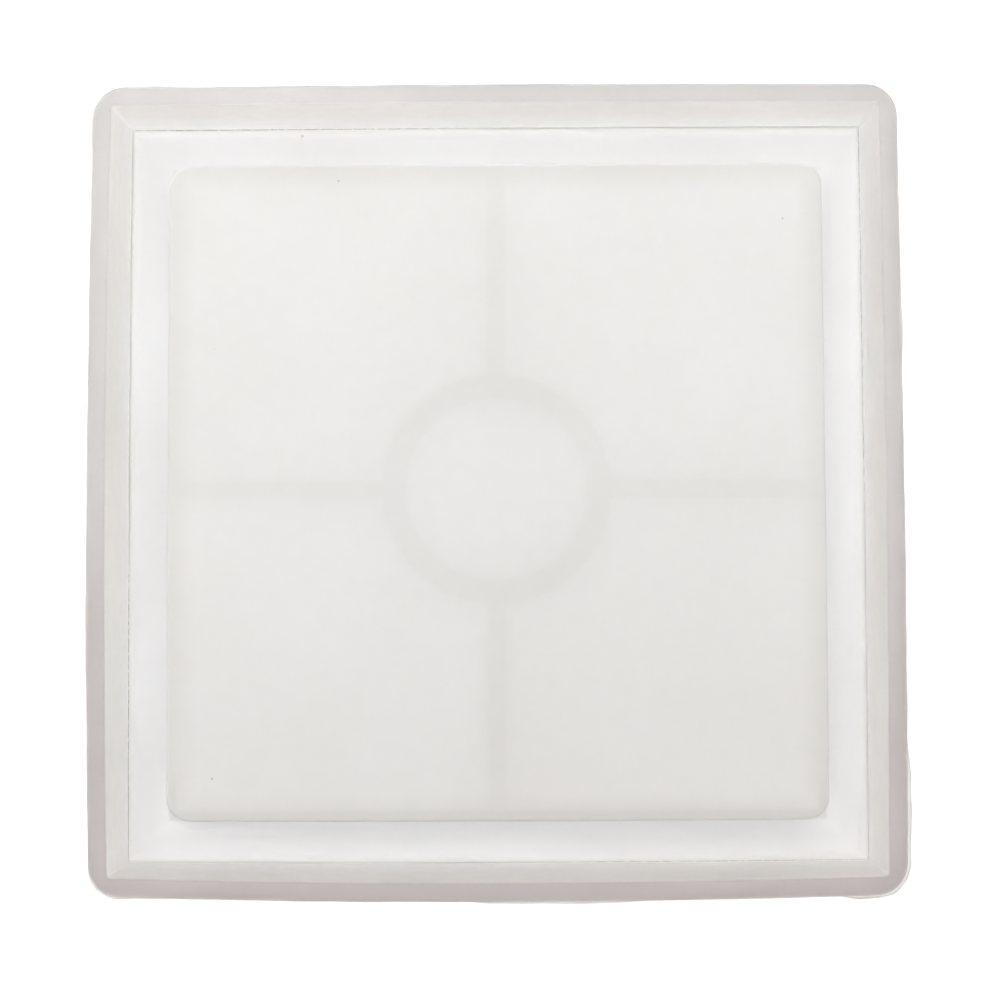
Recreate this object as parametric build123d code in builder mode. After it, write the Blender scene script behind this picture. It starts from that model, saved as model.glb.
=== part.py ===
"""Square silicone tray mould for casting resin, in millimetres.

The mould stands on a table with its open side up. Resin fills the trough between the outer
walls and the raised island, and then the whole cavity above it, so the casting is a square
tray whose recess is the island's shape. The island is a hollow cap: a thin skirt and top,
held up from below by a round support ring and four ribs. The real mould is one casting, so
every piece here is a region of it, cut where one feature meets the next, and neighbours
share their faces exactly.

Frame: origin at the centre of the underside, +Z up, -Y is the front.
"""

from build123d import *
import os

# Cavity and outer wall
CAVITY_WIDTH = 200.0        # inside width at the underside plane
CAVITY_FLARE = 1.0          # each wall leans out this much from underside to rim
RIM_HEIGHT = 28.0           # underside to rim
RIM_WIDTH = 5.0             # flat top of the wall
FOOT_WIDTH = 5.6            # wall thickness at the underside
WALL_BOW = 1.1              # outward bow of a rim at its middle
WALL_CORNER_RADIUS = 8.0    # outside corners
CAVITY_CORNER_RADIUS = 0.8  # inside corners, nearly sharp
RIM_ROUNDING = 0.5          # rounded outer edge of the rim

# Skin of the casting surface
FLOOR_THICKNESS = 3.0       # trough floor
SKIRT_THICKNESS = 3.0       # side of the island
PANEL_THICKNESS = 3.0       # top of the island

# Raised island
ISLAND_HEIGHT = 13.0        # underside to island top
ISLAND_FOOT_WIDTH = 178.0
ISLAND_TOP_WIDTH = 177.0
ISLAND_CORNER_RADIUS = 6.0

# Supports under the island
RING_OUTER_RADIUS = 31.0
RING_INNER_RADIUS = 24.4
RIB_WIDTH = 5.0
HOLLOW_CORNER_RADIUS = ISLAND_CORNER_RADIUS - SKIRT_THICKNESS

PANEL_UNDERSIDE = ISLAND_HEIGHT - PANEL_THICKNESS
RIM_CAVITY_WIDTH = CAVITY_WIDTH + 2 * CAVITY_FLARE
FOOT_OUTER_WIDTH = CAVITY_WIDTH + 2 * FOOT_WIDTH
RIM_OUTER_WIDTH = RIM_CAVITY_WIDTH + 2 * RIM_WIDTH
SIDE_TURNS = {"right": 0, "back": 90, "left": 180, "front": 270}


def bowed_square(width, bow, corner_radius):
    """A square face whose four sides are shallow arcs, bowed out by bow at the middle."""
    half = width / 2
    with BuildSketch() as outline:
        with BuildLine():
            for turn in SIDE_TURNS.values():
                start = Vector(half, -half).rotate(Axis.Z, turn)
                middle = Vector(half + bow, 0).rotate(Axis.Z, turn)
                end = Vector(half, half).rotate(Axis.Z, turn)
                ThreePointArc(start, middle, end)
        make_face()
        fillet(outline.vertices(), corner_radius)
    return outline.sketch


def walled_block(foot_width, rim_width, corner_radius):
    """A solid from the underside to the rim, straight sided below and bowed at the rim."""
    with BuildPart() as block:
        with BuildSketch():
            add(bowed_square(foot_width, WALL_BOW / 100, corner_radius))
        with BuildSketch(Plane.XY.offset(RIM_HEIGHT)):
            add(bowed_square(rim_width, WALL_BOW, corner_radius))
        loft(ruled=True)
    return block.part


def tapered_block(foot_width, top_width, corner_radius, bottom, top):
    """A solid with rounded corners, tapering between two widths over the island's height."""
    def width_at(height):
        return foot_width + (top_width - foot_width) * height / ISLAND_HEIGHT

    with BuildPart() as block:
        for height in (bottom, top):
            with BuildSketch(Plane.XY.offset(height)):
                width = width_at(height)
                RectangleRounded(width, width, corner_radius)
        loft(ruled=True)
    return block.part


def hollow_block(top):
    """The space under the island, from the underside up to a height."""
    return tapered_block(
        ISLAND_FOOT_WIDTH - 2 * SKIRT_THICKNESS,
        ISLAND_TOP_WIDTH - 2 * SKIRT_THICKNESS,
        HOLLOW_CORNER_RADIUS,
        0,
        top,
    )


def write(part, name):
    """Labels a finished piece and writes its STEP file."""
    part.label = name
    export_step(part, f"parts/{name}.step")


os.makedirs("parts", exist_ok=True)

cavity = walled_block(CAVITY_WIDTH, RIM_CAVITY_WIDTH, CAVITY_CORNER_RADIUS)

# Outer walls: one ring, cut at its four mitred corners
with BuildPart() as wall_ring:
    add(walled_block(FOOT_OUTER_WIDTH, RIM_OUTER_WIDTH, WALL_CORNER_RADIUS))
    rim_edges = wall_ring.faces().sort_by(Axis.Z)[-1].edges()
    fillet(rim_edges, RIM_ROUNDING)
    add(cavity, mode=Mode.SUBTRACT)

for side, turn in SIDE_TURNS.items():
    with BuildPart() as wall:
        add(wall_ring.part)
        for mitre in (turn + 45, turn - 45):
            inward = Vector(0, 1 if mitre < turn else -1).rotate(Axis.Z, mitre)
            split(bisect_by=Plane(origin=(0, 0, 0), z_dir=inward), keep=Keep.TOP)
    write(wall.part, f"{side}_wall")

# Trough floor: the square frame between the walls and the island
with BuildPart() as trough_floor:
    with BuildSketch():
        Rectangle(FOOT_OUTER_WIDTH, FOOT_OUTER_WIDTH)
    extrude(amount=FLOOR_THICKNESS)
    add(cavity, mode=Mode.INTERSECT)
    add(
        tapered_block(
            ISLAND_FOOT_WIDTH, ISLAND_TOP_WIDTH, ISLAND_CORNER_RADIUS, 0, ISLAND_HEIGHT
        ),
        mode=Mode.SUBTRACT,
    )
write(trough_floor.part, "trough_floor")

# Island skirt: the sides of the hollow island
with BuildPart() as island_skirt:
    add(
        tapered_block(
            ISLAND_FOOT_WIDTH, ISLAND_TOP_WIDTH, ISLAND_CORNER_RADIUS, 0, PANEL_UNDERSIDE
        )
    )
    add(hollow_block(PANEL_UNDERSIDE), mode=Mode.SUBTRACT)
write(island_skirt.part, "island_skirt")

# Island top: the panel that forms the recess of the casting
with BuildPart() as island_top:
    add(
        tapered_block(
            ISLAND_FOOT_WIDTH,
            ISLAND_TOP_WIDTH,
            ISLAND_CORNER_RADIUS,
            PANEL_UNDERSIDE,
            ISLAND_HEIGHT,
        )
    )
write(island_top.part, "island_top")

# Support ring under the middle of the panel
with BuildPart() as support_ring:
    with BuildSketch():
        Circle(RING_OUTER_RADIUS)
        Circle(RING_INNER_RADIUS, mode=Mode.SUBTRACT)
    extrude(amount=PANEL_UNDERSIDE)
write(support_ring.part, "support_ring")

# Support ribs from the ring out to the skirt
for side, turn in SIDE_TURNS.items():
    with BuildPart() as rib:
        with BuildSketch(Plane.XY.rotated((0, 0, turn))):
            Rectangle(CAVITY_WIDTH / 2, RIB_WIDTH, align=(Align.MIN, Align.CENTER))
        extrude(amount=PANEL_UNDERSIDE)
        add(hollow_block(PANEL_UNDERSIDE), mode=Mode.INTERSECT)
        Cylinder(
            RING_OUTER_RADIUS,
            PANEL_UNDERSIDE,
            align=(Align.CENTER, Align.CENTER, Align.MIN),
            mode=Mode.SUBTRACT,
        )
    write(rib.part, f"{side}_rib")
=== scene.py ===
"""Looks of the square silicone tray mould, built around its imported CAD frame.

The real mould is one translucent silicone casting, so one continuous skin stands for all of
its CAD nodes: bowed outer walls, trough, island, and the hollow underside with its ring and
ribs. Shapes are worked out in millimetres in the row frame and written in metres. The front
is -Y, and the end walls are the front and the back wall.
"""

import math

import bmesh
import bpy
from mathutils import Matrix, Vector, noise


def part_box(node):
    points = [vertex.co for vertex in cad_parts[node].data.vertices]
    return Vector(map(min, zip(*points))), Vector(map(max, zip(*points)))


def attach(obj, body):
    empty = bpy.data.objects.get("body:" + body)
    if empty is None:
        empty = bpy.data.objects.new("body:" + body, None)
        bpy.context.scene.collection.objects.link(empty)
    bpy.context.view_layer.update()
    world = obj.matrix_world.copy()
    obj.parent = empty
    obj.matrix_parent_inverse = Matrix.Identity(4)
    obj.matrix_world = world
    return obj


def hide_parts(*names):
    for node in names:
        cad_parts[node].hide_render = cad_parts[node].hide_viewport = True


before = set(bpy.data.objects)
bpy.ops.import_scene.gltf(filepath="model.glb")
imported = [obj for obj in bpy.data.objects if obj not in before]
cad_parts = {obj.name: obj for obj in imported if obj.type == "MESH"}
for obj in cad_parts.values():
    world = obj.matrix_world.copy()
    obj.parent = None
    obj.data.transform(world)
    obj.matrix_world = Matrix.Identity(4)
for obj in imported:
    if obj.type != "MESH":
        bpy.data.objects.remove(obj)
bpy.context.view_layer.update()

MM = 0.001
QUARTER_TURN = math.pi / 2


# ---------------------------------------------------------------- sizes, in mm

def highest(node, axis):
    """The highest coordinate of a CAD node along an axis, in millimetres."""
    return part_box(node)[1]["xyz".index(axis)] / MM


RIM_HEIGHT = highest("back_wall", "z")
TROUGH_LEVEL = highest("trough_floor", "z")
ISLAND_LEVEL = highest("island_top", "z")
PANEL_UNDERSIDE = highest("island_skirt", "z")
ISLAND_FOOT = highest("island_skirt", "x")
ISLAND_LEAN = (ISLAND_FOOT - highest("island_top", "x")) / PANEL_UNDERSIDE
RING_OUTER = highest("support_ring", "x")
RIB_HALF = highest("front_rib", "x")
CAVITY_FOOT = 100.0         # half width of the cavity at the underside plane
CAVITY_LEAN = 1.0 / RIM_HEIGHT
OUTER_FOOT = CAVITY_FOOT + 5.6
RIM_INNER = CAVITY_FOOT + 1.0
RIM_OUTER = RIM_INNER + 5.0
SKIRT_THICKNESS = 3.0
RING_WALL = 6.6
HOLLOW_FOOT = ISLAND_FOOT - SKIRT_THICKNESS
TROUGH_HALF = CAVITY_FOOT - 2.0         # inside which all follows the floor's small bow

# Corner radii seen from above
OUTER_CORNER = 8.0
CAVITY_CORNER = 0.8
TROUGH_CORNER = 3.0
ISLAND_CORNER = 6.0
HOLLOW_CORNER = 3.2
POCKET_CORNER = 2.8

# Radii of the rounded edges
FOOT_ROUND = 0.4
RIM_ROUND = 0.9
INNER_RIM_ROUND = 0.35
TOE_ROUND = 2.2             # between a wall and the trough
ISLAND_ROUND = 0.6
MOUTH_ROUND = 0.4           # of a pocket, at the underside
ROOT_ROUND = 2.2            # of a pocket, at the panel
POCKET_LEAN = 0.2           # how much a pocket narrows up to its root
SUPPORT = 0.3               # flat strip beside each rounded edge, which keeps flats flat

# How far each wall bows out at the middle of its rim; soft walls relax unevenly
BOW = {"right": 0.8, "back": 0.5, "left": 1.3, "front": 1.75}
BOW_GROWTH = 1.5            # power by which the bow grows with height
LEAST_BOW = 0.25            # share of the bow that the floor and island follow
RIPPLE = 0.12               # uneven waviness of the walls
RIPPLE_LENGTH = 45.0
RIPPLE_SEED = 1             # without one, Blender takes noise_vector's from the clock

# Thin flash left where the mould's own tool parted, just under the rim: the stretch of the
# outline in x and in y, and how far the flash stands out
FLASH = (
    ((98.0, 120.0), (-120.0, -69.0), 1.0),
    ((88.0, 120.0), (-120.0, -98.0), 0.9),
    ((-6.0, 36.0), (-120.0, -100.0), 0.55),
    ((-120.0, -92.0), (-120.0, -98.0), 0.6),
    ((-120.0, -84.0), (97.0, 120.0), 0.5),
    ((-120.0, -100.0), (88.0, 120.0), 0.5),
    ((100.0, 120.0), (34.0, 47.0), 0.5),
    ((-120.0, -100.0), (-52.0, -24.0), 0.35),
)
FLASH_LEVEL = 26.8
FLASH_SECTION = (           # rise from that level, and share of the flash that stands out
    (-0.16, 0.0),
    (-0.12, 0.25),
    (-0.08, 1.0),
    (0.08, 1.0),
    (0.12, 0.25),
    (0.16, 0.0),
)
FLASH_END = 3.0             # over which a stretch fades out
LEAST_FLASH = 0.12
FLASH_RIPPLE = 0.12
FLASH_RIPPLE_LENGTH = 6.0
FLASH_RAGGEDNESS = 0.35
FLASH_RAG_LENGTH = 4.0

PANEL_SAG = 0.15            # how far the island's top sinks between its supports
SAG_LENGTH = 18.0           # how quickly it sinks away from them

# Density of the mesh
SIDE_POINTS = 44
CORNER_POINTS = 10
FILLET_STEPS = 4
ARC_POINTS = 6
RING_ARC_STEPS = 14
RING_POINTS = 96
PANEL_LOOPS = 24
POCKET_SPACING = 4.0
OUTER_WALL_HEIGHTS = (1, 4, 8, 12, 16, 20, 24, FLASH_LEVEL - 0.6)
INNER_WALL_HEIGHTS = (27.3, 25, 22, 18, 14, 10, 7, 5)
ISLAND_SIDE_HEIGHTS = (5, 7.5, 10)
POCKET_HEIGHTS = (3.0, 6.0)
TROUGH_LOOPS = (96.0, 93.0)


# ---------------------------------------------------------------- colours and light

# Tones of the cavity's side walls and of its end walls, from the trough up. The end walls' tones
# hold painted shade up the wall and painted light at the toe, where they differ from the side
# walls'
TROUGH_TONE = (0.835, 0.838, 0.85)
TOE_TONE = (0.855, 0.855, 0.85)
END_TOE_LIT_TONE = (0.885, 0.885, 0.88)
FOOT_TONE = (0.885, 0.887, 0.872)
WALL_TONE = (0.865, 0.84, 0.805)
END_WALL_SHADED_TONE = (0.782, 0.753, 0.72)
TOE_HEIGHTS = (0.02, 0.3, 1.5, 3.0)     # above the trough, where those tones follow each other
UPPER_WALL_DEPTHS = (10.0, 1.0)         # below the rim, between which the wall's tone holds

# Tones of the rim's flat top, with painted shade towards the front and painted light at the back
# left
RIM_BACK_LIT_TONE = (0.785, 0.762, 0.75)
RIM_FRONT_SHADED_TONE = (0.625, 0.557, 0.552)
RIM_CORNER_LIT_TONE = (0.89, 0.87, 0.86)    # at the back left

# The trough is painted lighter beside the island, and lightest in front of it: painted light over
# the island's shadow
BESIDE_ISLAND_LIT_TONE = (0.87, 0.873, 0.883)
BEFORE_ISLAND_LIT_TONE = (0.985, 0.985, 0.985)

# The island, and what shows through its top: ring and ribs, and the skirt along its edge
ISLAND_TONE = (0.92, 0.915, 0.902)
ISLAND_SIDE_TONE = (0.8, 0.793, 0.78)
# Painted shade: the island's top darkens toward the front
ISLAND_FRONT_SHADE = (0.945, 0.941, 0.94)
SUPPORT_TONE = (0.901, 0.897, 0.883)
SKIRT_TONE = (0.85, 0.842, 0.826)
# The skirt's front strip shows through the top, darker there as painted shade
FRONT_SKIRT_SHADED_TONE = (0.832, 0.822, 0.808)

# The faces that resin never stains, the line round the rim's inner edge, and wear
UNDERSIDE_TONE = (0.99, 0.99, 0.985)
EDGE_LINE = (0.93, 0.92, 0.915)
CLOUD = (0.985, 0.98, 0.977)
GRIME = (0.992, 0.991, 0.99)
DUST = (0.35, 0.3, 0.27)

# Where one tone gives way to another: from and to, in mm. These go by height
RIM_TOP = (RIM_HEIGHT - 0.6, RIM_HEIGHT - 0.1)
BELOW_RIM = (RIM_HEIGHT - 0.5, RIM_HEIGHT - 2.0)
BELOW_TROUGH = (TROUGH_LEVEL - 0.5, TROUGH_LEVEL - 1.5)
ISLAND_TOP = (ISLAND_LEVEL - 1.2, ISLAND_LEVEL - 0.7)
IN_PANEL = (PANEL_UNDERSIDE, ISLAND_LEVEL - 1.0)
BELOW_PANEL = (PANEL_UNDERSIDE + 1.5, PANEL_UNDERSIDE + 0.5)

# These go by the half width of the squares round the middle
ON_OUTSIDE = (RIM_OUTER - 2.5, RIM_OUTER - 1.5)
NEAR_ISLAND = (ISLAND_FOOT + 6.0, ISLAND_FOOT)
ON_ISLAND = (ISLAND_FOOT + 1.0, ISLAND_FOOT)
INSIDE_SKIRT = (ISLAND_FOOT - 0.8, ISLAND_FOOT - 1.2)

# These go by y, and the last two by y - x and by |y| - |x|
RIM_BACKWARD = (-RIM_OUTER, 0.5 * RIM_OUTER)
ISLAND_FRONTWARD = (0.0, -ISLAND_FOOT)
AT_FRONT = (12.0 - HOLLOW_FOOT, -HOLLOW_FOOT)
BACK_LEFT = (60.0, 200.0)
ON_END_WALLS = (-1.0, 1.0)

# These go by the distance from the edge of what shows through the island's top
SUPPORT_BAND = (0.6, -0.6)
SKIRT_BAND = (6.0, -4.0)
FRONT_SKIRT_BAND = (0.8, -0.8)

# Noise levels between which clouds, grime and roughness grow
CLOUD_RANGE = (0.3, 0.7)
GRIME_RANGE = (0.35, 0.7)
ROUGHNESS_RANGE = (0.3, 0.7)

# Sizes of the surface's detail, in metres
CLOUD_SIZE = 0.04
MOTTLE_SIZE = 0.004
GRAIN_HEIGHT = 0.00004
DUST_SPACING = 0.011
DUST_RADIUS = 0.0006
DUST_SHARE = 0.3

# The silicone's finish
ROUGHNESS = 0.7
ROUGHNESS_SPREAD = 0.06
SILICONE_IOR = 1.41
SUBSURFACE = 1.0
SCATTER_LENGTH = 0.004
SCATTER_COLOURS = (1.0, 0.95, 0.9)
TRANSMISSION = 0.92
PANEL_TRANSMISSION = 0.1                # the island's top is milkier
INNER_COLOUR = (0.55, 0.45, 0.4)        # what the thick parts let through
INNER_DENSITY = 3.0

# The floor glows as painted light: brightest beside the mould, where the glow washes out its
# contact shadow, and dimmer under it, rising from front to back
FLOOR_COLOUR = (0.95, 0.95, 0.95)
FLOOR_ROUGHNESS = 0.9
FLOOR_GLOW_FRONT = 0.27
FLOOR_GLOW_BACK = 0.32
OPEN_FLOOR_GLOW = 0.6
GLOW_EDGE = 6.0
FLOOR_HALF = 6.0                        # in metres
FLOOR_GAP = 0.0002                      # in metres, below the mould

# Light of the surroundings by direction, and what is seen of them beyond the floor
FRONT_LIGHT = (0.10, 0.08, 0.075)
BACK_LIGHT = (0.70, 0.70, 0.70)
TOP_LIGHT = (0.7, 0.7, 0.7)
BACKDROP = (2.0, 2.0, 2.0)
WORLD_STRENGTH = 0.5
FRONT_TO_BACK = (0.1, 0.9)              # shares of the way, between which the light changes
OVERHEAD = (0.6, 0.95)                  # upward share of a direction, where the top light sets in
SOFTBOX_SIZE = 1.1
SOFTBOX_POWER = 7.0
SOFTBOX_PLACE = (-0.12, 0.35, 0.85)

SENSOR_WIDTH = 36.0
LENS = 65.6
CAMERA_PLACE = (3.2, -28.1, 500.0)      # in mm, above the trough
CAMERA_TILT = -2.945                    # in degrees, as are the next two
CAMERA_ROLL = 0.234
CAMERA_SWING = -0.265


# ---------------------------------------------------------------- the casting's profile

def rounded_square(half, corner):
    """Points round a square with arc corners, anticlockwise from the right side's front end."""
    points = []
    reach = half - corner
    for side in range(4):
        turn = Matrix.Rotation(side * QUARTER_TURN, 2)
        for i in range(SIDE_POINTS):
            share = i / (SIDE_POINTS - 1)
            points.append(turn @ Vector((half, (2 * share - 1) * reach)))
        for i in range(1, CORNER_POINTS):
            angle = i / CORNER_POINTS * QUARTER_TURN
            arm = Vector((math.cos(angle), math.sin(angle))) * corner
            points.append(turn @ (Vector((reach, reach)) + arm))
    return points


def smooth(value):
    """A soft step: 0 up to 0, 1 from 1 on."""
    share = min(1.0, max(0.0, value))
    return share * share * (3 - 2 * share)


def flash_at(point):
    """How far the thin trimmed flash under the rim stands out at a point of the outline."""
    ripple = noise.noise(Vector((point.x, point.y, 3.0)) / FLASH_RIPPLE_LENGTH)
    rag = noise.noise(Vector((point.x, point.y, 0.0)) / FLASH_RAG_LENGTH)
    width = LEAST_FLASH + FLASH_RIPPLE * ripple
    for x_range, y_range, full in FLASH:
        inside = min(
            smooth((point[axis] - low) / FLASH_END) * smooth((high - point[axis]) / FLASH_END)
            for axis, (low, high) in enumerate((x_range, y_range))
        )
        width = max(width, full * (1 + FLASH_RAGGEDNESS * rag) * inside)
    return max(0.0, width)


def flash_outline(half, share):
    """The outer wall's outline with a share of the flash standing out of it."""
    inner = rounded_square(half, OUTER_CORNER)
    outer = rounded_square(half + 1, OUTER_CORNER + 1)
    return [p + (q - p) * flash_at(p) * share for p, q in zip(inner, outer)]


def wall_level(half, height):
    """The share of the wall's bow that a loop of that half width and height follows."""
    if half < TROUGH_HALF:
        return LEAST_BOW
    return LEAST_BOW + (1 - LEAST_BOW) * (height / RIM_HEIGHT) ** BOW_GROWTH


def settle(x, y, z, level):
    """Moves a point of the ideal shape to where the soft casting really lies, in metres."""
    bow_x = BOW["right"] if x > 0 else BOW["left"]
    bow_y = BOW["back"] if y > 0 else BOW["front"]
    across = x / RIM_OUTER
    along = y / RIM_OUTER
    ripple = noise.noise_vector(Vector((x, y, z)) / RIPPLE_LENGTH) * RIPPLE * level
    return Vector((
        x + across * bow_x * level * max(0.0, 1 - along * along) + ripple.x,
        y + along * bow_y * level * max(0.0, 1 - across * across) + ripple.y,
        z,
    )) * MM


def fillet(half_0, z_0, half_1, z_1, starts_upright):
    """(half, z) steps of a quarter round between two points of a profile.

    It starts upright and ends level, or the other way round."""
    steps = []
    for i in range(FILLET_STEPS + 1):
        angle = i / FILLET_STEPS * QUARTER_TURN
        slow, fast = 1 - math.cos(angle), math.sin(angle)
        share_h, share_z = (slow, fast) if starts_upright else (fast, slow)
        steps.append((half_0 + (half_1 - half_0) * share_h, z_0 + (z_1 - z_0) * share_z))
    return steps


def straight(half_at, heights):
    """(half, z) steps along a leaning wall."""
    return [(half_at(z), z) for z in heights]


def outer_half(z):
    return OUTER_FOOT + (RIM_OUTER - OUTER_FOOT) * z / RIM_HEIGHT


def cavity_half(z):
    return CAVITY_FOOT + CAVITY_LEAN * z


def island_half(z):
    return ISLAND_FOOT - ISLAND_LEAN * z


def skin_profile():
    """(half, z, corner, flash, mark) from the foot of the outer wall to the island's top.

    mark is 1 on the rim's inner edge, where a darker line runs."""
    profile = []

    def run(steps, corner, flash=0.0, mark=0.0):
        profile.extend((half, z, corner, flash, mark) for half, z in steps)

    # Outer wall
    foot_half = OUTER_FOOT - FOOT_ROUND
    run([(foot_half - SUPPORT, 0.0)], OUTER_CORNER)
    run(fillet(foot_half, 0.0, outer_half(FOOT_ROUND), FOOT_ROUND, False), OUTER_CORNER)
    run(straight(outer_half, OUTER_WALL_HEIGHTS), OUTER_CORNER)
    for rise, share in FLASH_SECTION:
        run(straight(outer_half, (FLASH_LEVEL + rise,)), OUTER_CORNER, share)

    # Rim
    rim_half = RIM_OUTER - RIM_ROUND
    inner_half = RIM_INNER + INNER_RIM_ROUND
    run(fillet(RIM_OUTER, RIM_HEIGHT - RIM_ROUND, rim_half, RIM_HEIGHT, True), OUTER_CORNER)
    run([(rim_half - SUPPORT, RIM_HEIGHT)], OUTER_CORNER)
    run([((RIM_OUTER + RIM_INNER) / 2, RIM_HEIGHT)], (OUTER_CORNER + CAVITY_CORNER) / 2)
    run([(inner_half + SUPPORT, RIM_HEIGHT)], CAVITY_CORNER + INNER_RIM_ROUND)
    run(
        fillet(inner_half, RIM_HEIGHT, RIM_INNER, RIM_HEIGHT - INNER_RIM_ROUND, False),
        CAVITY_CORNER,
        mark=1.0,
    )

    # Cavity wall and trough
    toe_top = TROUGH_LEVEL + TOE_ROUND
    toe_half = CAVITY_FOOT - TOE_ROUND
    run(straight(cavity_half, INNER_WALL_HEIGHTS), CAVITY_CORNER)
    run(straight(cavity_half, (toe_top + SUPPORT,)), CAVITY_CORNER)
    run(fillet(cavity_half(toe_top), toe_top, toe_half, TROUGH_LEVEL, True), CAVITY_CORNER)
    run([(toe_half - SUPPORT, TROUGH_LEVEL)], CAVITY_CORNER)
    run([(half, TROUGH_LEVEL) for half in TROUGH_LOOPS], TROUGH_CORNER)

    # Island
    side = island_half(TROUGH_LEVEL)
    side_foot = side + ISLAND_ROUND
    side_top = ISLAND_LEVEL - ISLAND_ROUND
    top = island_half(ISLAND_LEVEL)
    run([(side_foot + SUPPORT, TROUGH_LEVEL)], ISLAND_CORNER + ISLAND_ROUND)
    run(fillet(side_foot, TROUGH_LEVEL, side, TROUGH_LEVEL + ISLAND_ROUND, False), ISLAND_CORNER)
    run(straight(island_half, ISLAND_SIDE_HEIGHTS + (side_top - SUPPORT,)), ISLAND_CORNER)
    run(fillet(top, side_top, top - ISLAND_ROUND, ISLAND_LEVEL, True), ISLAND_CORNER)
    run([(top - ISLAND_ROUND - SUPPORT, ISLAND_LEVEL)], ISLAND_CORNER - ISLAND_ROUND)
    return profile


def sag_at(x, y):
    """How far the island's top has sunk between the ring, the ribs and the skirt, from 0 to 1."""
    def sunk(distance):
        return 1 - math.exp(-(distance / SAG_LENGTH) ** 2)

    return sunk(x) * sunk(y) * sunk(HOLLOW_FOOT - max(abs(x), abs(y)))


# ---------------------------------------------------------------- the casting's mesh

class Casting:
    """Collects the loops of points of the casting and joins them into one closed mesh."""

    def __init__(self):
        self.bm = bmesh.new()
        self.marks = self.bm.verts.layers.float.new("edge_line")

    def loop(self, points, z, level, drop=None, mark=0.0):
        """One closed loop of vertices at a height, through the settled shape.

        drop gives the share of the sag at a point. mark is how much of the darker line along
        the rim's inner edge runs through the loop."""
        verts = []
        for p in points:
            height = z - (drop(p.x, p.y) * PANEL_SAG if drop else 0.0)
            vert = self.bm.verts.new(settle(p.x, p.y, height, level))
            vert[self.marks] = mark
            verts.append(vert)
        return verts

    def join(self, lower, upper):
        """A band of quads between two loops of the same length."""
        count = len(lower)
        for i in range(count):
            j = (i + 1) % count
            self.bm.faces.new((lower[i], lower[j], upper[j], upper[i]))

    def stack(self, loops):
        for lower, upper in zip(loops, loops[1:]):
            self.join(lower, upper)

    def cap(self, loop):
        self.bm.faces.new(loop)

    def fill_between(self, loops):
        """Fills the flat face that is bounded by the first loop and has the others as holes."""
        edges = []
        for loop in loops:
            for i, vert in enumerate(loop):
                edges.append(self.bm.edges.get((vert, loop[(i + 1) % len(loop)])))
        bmesh.ops.triangle_fill(self.bm, use_beauty=True, use_dissolve=False, edges=edges)


def add_skin(casting):
    """The outside of the casting: walls, rim, cavity, trough and island. Returns its foot loop."""
    loops = [
        casting.loop(
            flash_outline(half, flash) if flash else rounded_square(half, corner),
            z,
            wall_level(half, z),
            mark=mark,
        )
        for half, z, corner, flash, mark in skin_profile()
    ]
    casting.stack(loops)
    # The island's top closes in concentric loops
    last = loops[-1]
    half = island_half(ISLAND_LEVEL) - ISLAND_ROUND - SUPPORT
    for i in range(1, PANEL_LOOPS):
        share = 1 - i / PANEL_LOOPS
        points = rounded_square(half * share, ISLAND_CORNER * share)
        ring = casting.loop(points, ISLAND_LEVEL, LEAST_BOW, sag_at)
        casting.join(last, ring)
        last = ring
    casting.cap(last)
    return loops[0]


def round_corners(corners):
    """A closed outline through (x, y, radius) corners, each rounded by a tangent arc."""
    outline = []
    count = len(corners)
    for i, (x, y, radius) in enumerate(corners):
        here = Vector((x, y))
        if radius == 0:
            outline.append(here)
            continue
        before = Vector(corners[i - 1][:2]) - here
        after = Vector(corners[(i + 1) % count][:2]) - here
        half_angle = before.angle(after) / 2
        trim = radius / math.tan(half_angle)
        inward = (before.normalized() + after.normalized()).normalized()
        centre = here + inward * (radius / math.sin(half_angle))
        start = here + before.normalized() * trim - centre
        end = here + after.normalized() * trim - centre
        sweep = start.angle_signed(end)
        for step in range(ARC_POINTS + 1):
            turn = Matrix.Rotation(-sweep * step / ARC_POINTS, 2)
            outline.append(centre + turn @ start)
    return outline


def dense(outline, spacing):
    """The same closed outline with points no further apart than about spacing."""
    points = []
    for i, here in enumerate(outline):
        there = outline[(i + 1) % len(outline)]
        pieces = max(1, round((there - here).length / spacing))
        points.extend(here.lerp(there, k / pieces) for k in range(pieces))
    return points


def offset(points, amount):
    """A closed anticlockwise outline moved outward by amount along its corner normals."""
    moved = []
    for i, here in enumerate(points):
        before = (here - points[i - 1]).normalized()
        after = (points[(i + 1) % len(points)] - here).normalized()
        normal = Vector((before.y + after.y, -before.x - after.x)).normalized()
        stretch = 1 / max(0.5, normal.dot(Vector((after.y, -after.x))))
        moved.append(here + normal * amount * stretch)
    return moved


def quadrant_outline():
    """The pocket between two ribs, the ring and the skirt, in the +X +Y quadrant."""
    start = math.asin(RIB_HALF / RING_OUTER)
    end = QUARTER_TURN - start
    corners = [
        (RING_OUTER * math.cos(start), RIB_HALF, POCKET_CORNER),
        (HOLLOW_FOOT, RIB_HALF, POCKET_CORNER),
        (HOLLOW_FOOT, HOLLOW_FOOT, HOLLOW_CORNER),
        (RIB_HALF, HOLLOW_FOOT, POCKET_CORNER),
        (RIB_HALF, RING_OUTER * math.sin(end), POCKET_CORNER),
    ]
    for i in range(1, RING_ARC_STEPS):
        angle = end + (start - end) * i / RING_ARC_STEPS
        corners.append((RING_OUTER * math.cos(angle), RING_OUTER * math.sin(angle), 0))
    return dense(round_corners(corners), POCKET_SPACING)


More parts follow.
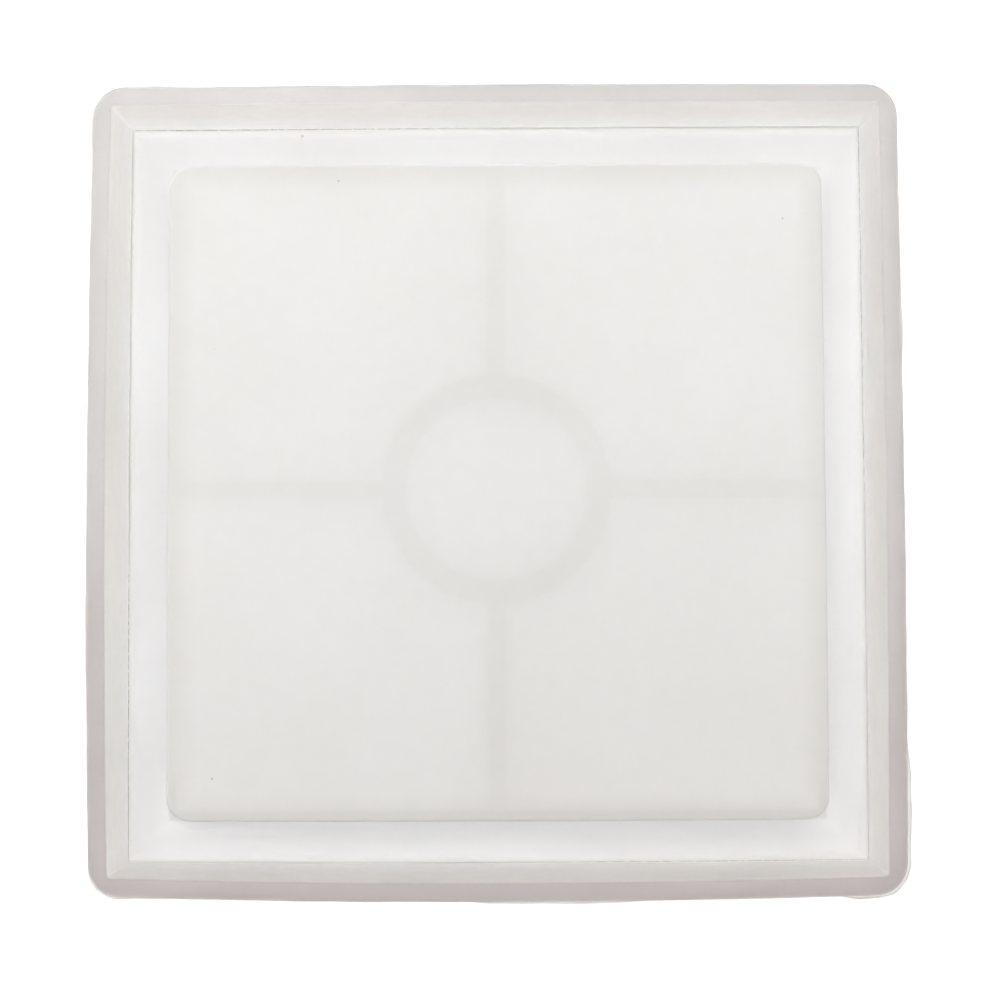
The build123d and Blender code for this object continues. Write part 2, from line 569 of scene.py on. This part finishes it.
def add_pocket(casting, outline):
    """A hollow in the underside with rounded mouth and root. Returns its loop on the underside."""
    loops = []

    def ring(outward, z):
        loops.append(casting.loop(offset(outline, outward), z, LEAST_BOW))

    ring(MOUTH_ROUND + SUPPORT, 0.0)
    for i in range(FILLET_STEPS + 1):
        angle = i / FILLET_STEPS * QUARTER_TURN
        ring(MOUTH_ROUND * (1 - math.sin(angle)), MOUTH_ROUND * (1 - math.cos(angle)))
    for z in POCKET_HEIGHTS + (PANEL_UNDERSIDE - ROOT_ROUND,):
        ring(-POCKET_LEAN * z / PANEL_UNDERSIDE, z)
    for i in range(1, FILLET_STEPS + 1):
        angle = i / FILLET_STEPS * QUARTER_TURN
        inward = POCKET_LEAN + (ROOT_ROUND - POCKET_LEAN) * (1 - math.cos(angle))
        ring(-inward, PANEL_UNDERSIDE - ROOT_ROUND * (1 - math.sin(angle)))
    ring(-ROOT_ROUND - SUPPORT, PANEL_UNDERSIDE)
    casting.stack(loops)
    casting.cap(loops[-1])
    return loops[0]


def make_casting():
    """The whole mould as one closed mesh object."""
    noise.seed_set(RIPPLE_SEED)
    casting = Casting()
    boundary = [add_skin(casting)]
    quadrant = quadrant_outline()
    for side in range(4):
        turn = Matrix.Rotation(side * QUARTER_TURN, 2)
        boundary.append(add_pocket(casting, [turn @ p for p in quadrant]))
    circle = []
    for i in range(RING_POINTS):
        angle = 4 * QUARTER_TURN * i / RING_POINTS
        circle.append(Vector((math.cos(angle), math.sin(angle))) * (RING_OUTER - RING_WALL))
    boundary.append(add_pocket(casting, circle))
    casting.fill_between(boundary)
    bmesh.ops.recalc_face_normals(casting.bm, faces=casting.bm.faces)
    mesh = bpy.data.meshes.new("silicone_casting")
    casting.bm.to_mesh(mesh)
    casting.bm.free()
    mesh.polygons.foreach_set("use_smooth", [True] * len(mesh.polygons))
    piece = bpy.data.objects.new("silicone_casting", mesh)
    bpy.context.scene.collection.objects.link(piece)
    return piece


# ---------------------------------------------------------------- short calls for nodes

def ramp_node(tree, source, stops, interpolation="EASE"):
    """A colour ramp fed by source, with (position, colour) stops."""
    node = tree.nodes.new("ShaderNodeValToRGB")
    node.color_ramp.interpolation = interpolation
    while len(node.color_ramp.elements) < len(stops):
        node.color_ramp.elements.new(0.5)
    for element, (position, colour) in zip(node.color_ramp.elements, stops):
        element.position = position
        element.color = (*colour, 1)
    tree.links.new(source, node.inputs["Fac"])
    return node.outputs["Color"]


def mix_node(tree, factor, first, second, blend="MIX"):
    """Mixes two colours; each of the three is a value or the output of another node."""
    node = tree.nodes.new("ShaderNodeMix")
    node.data_type = "RGBA"
    node.blend_type = blend
    colours = [socket for socket in node.inputs if socket.type == "RGBA"]
    for socket, value in zip((node.inputs["Factor"], *colours), (factor, first, second)):
        feed(tree, socket, value)
    return next(socket for socket in node.outputs if socket.type == "RGBA")


def feed(tree, socket, value):
    """Sets a socket to a number, a colour or the output of another node."""
    if isinstance(value, bpy.types.NodeSocket):
        tree.links.new(value, socket)
    elif isinstance(value, tuple) and socket.type == "RGBA":
        socket.default_value = (*value, 1)
    else:
        socket.default_value = value


class Graph:
    """Short calls for building a material's node tree."""

    def __init__(self, name):
        self.material = bpy.data.materials.new(name)
        self.material.use_nodes = True
        self.tree = self.material.node_tree
        self.skin = self.tree.nodes["Principled BSDF"]
        self.coords = self.tree.nodes.new("ShaderNodeTexCoord").outputs["Object"]
        split = self.tree.nodes.new("ShaderNodeSeparateXYZ")
        self.tree.links.new(self.coords, split.inputs[0])
        # The point's coordinates in millimetres
        self.x, self.y, self.z = (self.math("DIVIDE", split.outputs[axis], MM) for axis in "XYZ")
        self.across = self.math("ABSOLUTE", self.x)
        self.along = self.math("ABSOLUTE", self.y)
        # How far out it lies on the squares round the middle
        self.square = self.math("MAXIMUM", self.across, self.along)

    def set(self, name, value):
        """Sets or links an input of the material's shader."""
        feed(self.tree, self.skin.inputs[name], value)

    def math(self, operation, *values):
        node = self.tree.nodes.new("ShaderNodeMath")
        node.operation = operation
        for socket, value in zip(node.inputs, values):
            feed(self.tree, socket, value)
        return node.outputs[0]

    def fade(self, source, start, end, low=0.0, high=1.0):
        """A smooth change from low to high as source goes from start to end."""
        node = self.tree.nodes.new("ShaderNodeMapRange")
        node.interpolation_type = "SMOOTHSTEP"
        for socket, value in zip(node.inputs, (source, start, end, low, high)):
            feed(self.tree, socket, value)
        return node.outputs["Result"]

    def mix(self, factor, first, second):
        return mix_node(self.tree, factor, first, second)

    def tint(self, factor, colour, tint):
        """The colour, multiplied by tint where factor is 1."""
        return mix_node(self.tree, factor, colour, tint, "MULTIPLY")

    def noise(self, size):
        """A noise whose features are about size metres."""
        mapping = self.tree.nodes.new("ShaderNodeMapping")
        mapping.inputs["Scale"].default_value = [1 / size] * 3
        self.tree.links.new(self.coords, mapping.inputs["Vector"])
        node = self.tree.nodes.new("ShaderNodeTexNoise")
        node.inputs["Scale"].default_value = 1.0
        node.inputs["Detail"].default_value = 1.0
        self.tree.links.new(mapping.outputs["Vector"], node.inputs["Vector"])
        return node.outputs[0]

    def specks(self, cell, radius, share):
        """1 inside sparse round specks and 0 elsewhere; a share of the cells holds one."""
        node = self.tree.nodes.new("ShaderNodeTexVoronoi")
        node.inputs["Scale"].default_value = 1 / cell
        self.tree.links.new(self.coords, node.inputs["Vector"])
        chance = self.tree.nodes.new("ShaderNodeSeparateColor")
        self.tree.links.new(node.outputs["Color"], chance.inputs[0])
        chosen = self.math("LESS_THAN", chance.outputs[0], share)
        size = self.math("MULTIPLY", chance.outputs[1], radius / cell)
        spot = self.fade(node.outputs["Distance"], size, 0.0)
        return self.math("MULTIPLY", chosen, spot)

    def bump(self, height, distance):
        """The surface normal over a height from 0 to 1 that stands for distance metres."""
        node = self.tree.nodes.new("ShaderNodeBump")
        node.inputs["Distance"].default_value = distance
        self.tree.links.new(height, node.inputs["Height"])
        return node.outputs["Normal"]

    def attribute(self, name):
        node = self.tree.nodes.new("ShaderNodeAttribute")
        node.attribute_name = name
        return node.outputs["Fac"]


# ---------------------------------------------------------------- the silicone

def cavity_tone(graph):
    """Tones of the trough, the walls and the rim; thick walls are darker than the thin floor.
    Painted light and shade lie on them too: on the end walls, on the rim, and on the trough round
    the island.
    """
    height = graph.math("DIVIDE", graph.z, RIM_HEIGHT)
    tone_heights = [TROUGH_LEVEL + rise for rise in TOE_HEIGHTS]
    tone_heights += [RIM_HEIGHT - depth for depth in UPPER_WALL_DEPTHS]

    def wall_ramp(toe, wall):
        tones = (TROUGH_TONE, toe, toe, FOOT_TONE, wall, wall)
        stops = [(level / RIM_HEIGHT, tone) for level, tone in zip(tone_heights, tones)]
        return ramp_node(graph.tree, height, stops, "LINEAR")

    # The front and back walls take their own tones, with painted shade up the wall and painted
    # light at the toe
    on_end = graph.fade(graph.math("SUBTRACT", graph.along, graph.across), *ON_END_WALLS)
    side = wall_ramp(TOE_TONE, WALL_TONE)
    tone = graph.mix(on_end, side, wall_ramp(END_TOE_LIT_TONE, END_WALL_SHADED_TONE))

    # Painted shade and light on the rim: darkest in front, and lightest at the back left
    to_back = graph.fade(graph.y, *RIM_BACKWARD)
    to_back_left = graph.fade(graph.math("SUBTRACT", graph.y, graph.x), *BACK_LEFT)
    rim = graph.mix(to_back, RIM_FRONT_SHADED_TONE, RIM_BACK_LIT_TONE)
    rim = graph.mix(to_back_left, rim, RIM_CORNER_LIT_TONE)
    tone = graph.mix(graph.fade(graph.z, *RIM_TOP), tone, rim)

    # Painted light on the strip of the trough round the island, strongest in front of it, where
    # the island's shadow falls
    strip = graph.mix(at_front(graph), BESIDE_ISLAND_LIT_TONE, BEFORE_ISLAND_LIT_TONE)
    return graph.mix(graph.fade(graph.square, *NEAR_ISLAND), tone, strip)


def at_front(graph):
    """1 along the island's front edge and in front of it, 0 elsewhere."""
    return graph.fade(graph.y, *AT_FRONT)


def support_distance(graph):
    """The distance in mm from the nearest of the ring and the ribs, less than 0 over them."""
    squares = [graph.math("MULTIPLY", axis, axis) for axis in (graph.x, graph.y)]
    radius = graph.math("SQRT", graph.math("ADD", *squares))
    ring_middle = RING_OUTER - RING_WALL / 2
    from_middle = graph.math("ABSOLUTE", graph.math("SUBTRACT", radius, ring_middle))
    beyond_ring = graph.math("SUBTRACT", from_middle, RING_WALL / 2)
    beside_rib = graph.math(
        "SUBTRACT", graph.math("MINIMUM", graph.across, graph.along), RIB_HALF
    )
    before_rib = graph.math("SUBTRACT", ring_middle, radius)
    beyond_rib = graph.math("MAXIMUM", beside_rib, before_rib)
    return graph.math("MINIMUM", beyond_ring, beyond_rib)


def add_bands(graph, tone, on_top):
    """Lets the ring, the ribs and the skirt show through the panel as slightly darker bands, with
    painted shade on the skirt's front strip and toward the island's front.
    """
    beyond_support = support_distance(graph)
    beyond_skirt = graph.math("SUBTRACT", HOLLOW_FOOT, graph.square)
    front_skirt = graph.fade(beyond_skirt, *FRONT_SKIRT_BAND)
    for band, colour in (
        (graph.fade(beyond_support, *SUPPORT_BAND), SUPPORT_TONE),
        (graph.fade(beyond_skirt, *SKIRT_BAND), SKIRT_TONE),
        # The skirt's front strip, darker as painted shade
        (graph.math("MULTIPLY", at_front(graph), front_skirt), FRONT_SKIRT_SHADED_TONE),
    ):
        tone = graph.mix(graph.math("MULTIPLY", band, on_top), tone, colour)
    # Painted shade: the island's top darkens toward the front
    front_shade = graph.math("MULTIPLY", graph.fade(graph.y, *ISLAND_FRONTWARD), on_top)
    return graph.tint(front_shade, tone, ISLAND_FRONT_SHADE)


def unstained(graph, on_island):
    """1 on the outside and on the underside, which are clearer than the face resin stains."""
    below_rim = graph.fade(graph.z, *BELOW_RIM)
    outside = graph.math("MULTIPLY", graph.fade(graph.square, *ON_OUTSIDE), below_rim)
    under_trough = graph.fade(graph.z, *BELOW_TROUGH)
    below_panel = graph.math("MULTIPLY", on_island, graph.fade(graph.z, *BELOW_PANEL))
    inside_skirt = graph.fade(graph.square, *INSIDE_SKIRT)
    under_island = graph.math("MULTIPLY", below_panel, inside_skirt)
    return graph.math("MAXIMUM", graph.math("MAXIMUM", outside, under_trough), under_island)


def silicone_material():
    """Translucent milky silicone with a satin skin."""
    graph = Graph("milky_silicone")
    on_island = graph.fade(graph.square, *ON_ISLAND)
    on_top = graph.math("MULTIPLY", graph.fade(graph.z, *IN_PANEL), on_island)
    island = graph.mix(graph.fade(graph.z, *ISLAND_TOP), ISLAND_SIDE_TONE, ISLAND_TONE)
    tone = graph.mix(on_island, cavity_tone(graph), island)
    tone = add_bands(graph, tone, on_top)
    tone = graph.mix(unstained(graph, on_island), tone, UNDERSIDE_TONE)
    tone = graph.tint(graph.attribute("edge_line"), tone, EDGE_LINE)

    # Cloudy batches in the silicone, faint grime, and specks of dust
    clouds = graph.noise(CLOUD_SIZE)
    mottle = graph.noise(MOTTLE_SIZE)
    tone = graph.tint(graph.fade(clouds, *CLOUD_RANGE), tone, CLOUD)
    tone = graph.tint(graph.fade(mottle, *GRIME_RANGE), tone, GRIME)
    tone = graph.mix(graph.specks(DUST_SPACING, DUST_RADIUS, DUST_SHARE), tone, DUST)
    graph.set("Base Color", tone)

    # A satin skin, rougher in patches, with a fine uneven grain
    patchy = graph.math("MULTIPLY", graph.math("ADD", clouds, mottle), 0.5)
    smoother, rougher = ROUGHNESS - ROUGHNESS_SPREAD, ROUGHNESS + ROUGHNESS_SPREAD
    graph.set("Roughness", graph.fade(patchy, *ROUGHNESS_RANGE, smoother, rougher))
    graph.set("Normal", graph.bump(mottle, GRAIN_HEIGHT))
    through = graph.fade(on_top, 0.0, 1.0, TRANSMISSION, PANEL_TRANSMISSION)
    graph.set("Transmission Weight", through)
    graph.set("IOR", SILICONE_IOR)

    graph.skin.subsurface_method = "RANDOM_WALK"
    graph.set("Subsurface Weight", SUBSURFACE)
    graph.set("Subsurface Radius", SCATTER_COLOURS)
    graph.set("Subsurface Scale", SCATTER_LENGTH)
    inside = graph.tree.nodes.new("ShaderNodeVolumeAbsorption")
    inside.inputs["Color"].default_value = (*INNER_COLOUR, 1)
    inside.inputs["Density"].default_value = INNER_DENSITY
    output = graph.tree.nodes["Material Output"]
    graph.tree.links.new(inside.outputs["Volume"], output.inputs["Volume"])
    return graph.material


# ---------------------------------------------------------------- floor, light and camera

def floor_material():
    """A pale floor that glows as painted light, most beside the mould, where the glow washes out
    its contact shadow.
    """
    graph = Graph("pale_floor")
    under = graph.fade(graph.y, -RIM_OUTER, RIM_OUTER, FLOOR_GLOW_FRONT, FLOOR_GLOW_BACK)
    glow = graph.fade(graph.square, RIM_OUTER, RIM_OUTER + GLOW_EDGE, under, OPEN_FLOOR_GLOW)
    graph.set("Base Color", FLOOR_COLOUR)
    graph.set("Roughness", FLOOR_ROUGHNESS)
    graph.set("Specular IOR Level", 0.0)
    graph.set("Emission Color", (1.0, 1.0, 1.0))
    graph.set("Emission Strength", glow)
    return graph.material


def make_floor():
    mesh = bpy.data.meshes.new("floor")
    half = FLOOR_HALF
    corners = [(-half, -half), (half, -half), (half, half), (-half, half)]
    mesh.from_pydata([(x, y, -FLOOR_GAP) for x, y in corners], [], [(0, 1, 2, 3)])
    floor = bpy.data.objects.new("floor", mesh)
    bpy.context.scene.collection.objects.link(floor)
    mesh.materials.append(floor_material())


def make_camera():
    """Half a metre above the mould, a little to the front, looking almost straight down."""
    data = bpy.data.cameras.new("camera")
    data.sensor_width = SENSOR_WIDTH
    data.lens = LENS
    camera = bpy.data.objects.new("camera", data)
    bpy.context.scene.collection.objects.link(camera)
    to_camera = (
        Matrix.Rotation(math.radians(CAMERA_ROLL), 3, "Z")
        @ Matrix.Rotation(math.radians(CAMERA_TILT), 3, "X")
        @ Matrix.Rotation(math.radians(CAMERA_SWING), 3, "Y")
    )
    place = (Vector(CAMERA_PLACE) + Vector((0, 0, TROUGH_LEVEL))) * MM
    camera.matrix_world = Matrix.Translation(place) @ to_camera.transposed().to_4x4()
    bpy.context.scene.camera = camera


def make_softbox():
    """A broad soft light above and behind the mould, which faces it."""
    data = bpy.data.lights.new("softbox", "AREA")
    data.shape = "SQUARE"
    data.size = SOFTBOX_SIZE
    data.energy = SOFTBOX_POWER
    light = bpy.data.objects.new("softbox", data)
    bpy.context.scene.collection.objects.link(light)
    place = Vector(SOFTBOX_PLACE)
    facing = place.to_track_quat("Z", "Y").to_matrix().to_4x4()
    light.matrix_world = Matrix.Translation(place) @ facing


def make_world():
    """A soft studio: a broad light overhead, pale surroundings, dimmer and warmer in front."""
    world = bpy.data.worlds.new("studio")
    bpy.context.scene.world = world
    world.use_nodes = True
    tree = world.node_tree
    coords = tree.nodes.new("ShaderNodeTexCoord")
    split = tree.nodes.new("ShaderNodeSeparateXYZ")
    tree.links.new(coords.outputs["Generated"], split.inputs[0])
    spread = tree.nodes.new("ShaderNodeMapRange")
    spread.inputs["From Min"].default_value = -1.0
    tree.links.new(split.outputs["Y"], spread.inputs["Value"])
    sides = zip(FRONT_TO_BACK, (FRONT_LIGHT, BACK_LIGHT))
    around = ramp_node(tree, spread.outputs["Result"], list(sides))
    above = zip(OVERHEAD, ((0, 0, 0), TOP_LIGHT))
    overhead = ramp_node(tree, split.outputs["Z"], list(above))
    total = tree.nodes.new("ShaderNodeVectorMath")
    total.operation = "ADD"
    tree.links.new(around, total.inputs[0])
    tree.links.new(overhead, total.inputs[1])

    # What is seen beyond the floor is plain and pale; only its light on things is uneven
    path = tree.nodes.new("ShaderNodeLightPath")
    shown = mix_node(tree, path.outputs["Is Camera Ray"], total.outputs[0], BACKDROP)
    background = tree.nodes["Background"]
    tree.links.new(shown, background.inputs["Color"])
    background.inputs["Strength"].default_value = WORLD_STRENGTH


# ---------------------------------------------------------------- the scene

make_camera()
make_world()
make_softbox()
make_floor()

casting = make_casting()
casting.data.materials.append(silicone_material())
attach(casting, "root")
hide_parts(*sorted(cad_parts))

scene = bpy.context.scene
scene.view_settings.view_transform = "Standard"
scene.cycles.max_bounces = 12
scene.cycles.diffuse_bounces = 6
scene.cycles.transmission_bounces = 12
